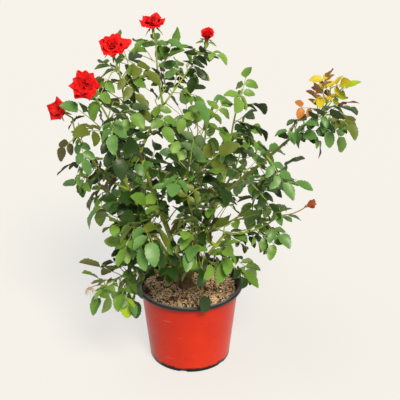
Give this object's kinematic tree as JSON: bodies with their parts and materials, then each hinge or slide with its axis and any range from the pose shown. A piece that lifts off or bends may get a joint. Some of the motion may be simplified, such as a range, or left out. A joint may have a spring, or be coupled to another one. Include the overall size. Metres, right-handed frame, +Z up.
{
  "type": "potted rose bush",
  "caption": "Rose bush in a round tapered grower's pot: thorny arching canes, leafy masses of serrated leaflets, open red blooms and a half-open bud.",
  "frame": {"origin": "middle of the pot's flat underside, on the surface that it stands on", "axes": "+Z up, -Y towards the side that the fullest view shows, +X to the right of it"},
  "size_m": [0.5937, 0.5567, 0.7501],
  "materials": {
    "pot_red": "thin moulded plastic, satin gloss with faint scuffs",
    "pot_dark": "dark inner layer and rolled rim, worn satin",
    "potting_mix": "coarse granular mix of bark, grit and white specks",
    "bark": "rough grey-green bark",
    "cane": "smooth green bark with prickles",
    "foliage": "leathery green leaflets, half gloss above, paler below",
    "young_foliage": "tender yellow-green leaflets flushed with red",
    "petal": "velvety scarlet petals"
  },
  "bodies": {
    "root": {"pot_wall": "pot_red", "pot_liner": "pot_dark", "potting_mix": "potting_mix", "crown": "bark", "cane_left": "cane", "cane_right": "cane", "cane_centre": "cane", "cane_left_front": "cane", "cane_back_left": "cane", "cane_back_right": "cane", "cane_front": "cane", "cane_low_right": "cane", "cane_low_left": "cane", "cane_far_left": "cane", "bough_arch": "cane", "bough_top": "cane", "bough_upper_left": "cane", "bough_outer_left": "cane", "bough_centre_right": "cane", "bough_back": "cane", "bough_right_back": "cane", "bough_front_right": "cane", "bough_front_left": "cane", "foliage_top": "foliage", "foliage_top_right": "foliage", "foliage_upper_left": "foliage", "foliage_left_front": "foliage", "foliage_outer_left": "foliage", "foliage_far_left": "foliage", "foliage_centre": "foliage", "foliage_centre_right": "foliage", "foliage_arch": "foliage", "foliage_arch_tip": "young_foliage", "foliage_right_spray": "foliage", "foliage_low_right": "foliage", "foliage_low_left": "foliage", "foliage_front": "foliage", "foliage_front_right": "foliage", "foliage_front_left": "foliage", "foliage_middle": "foliage", "foliage_low_middle": "foliage", "foliage_back": "foliage", "foliage_back_left": "foliage", "foliage_back_right": "foliage", "foliage_right_back": "foliage", "bloom_top": "petal", "bud_top_right": "petal", "bloom_upper_left": "petal", "bloom_left": "petal", "bloom_outer_left": "petal"}
  },
  "joints": []
}
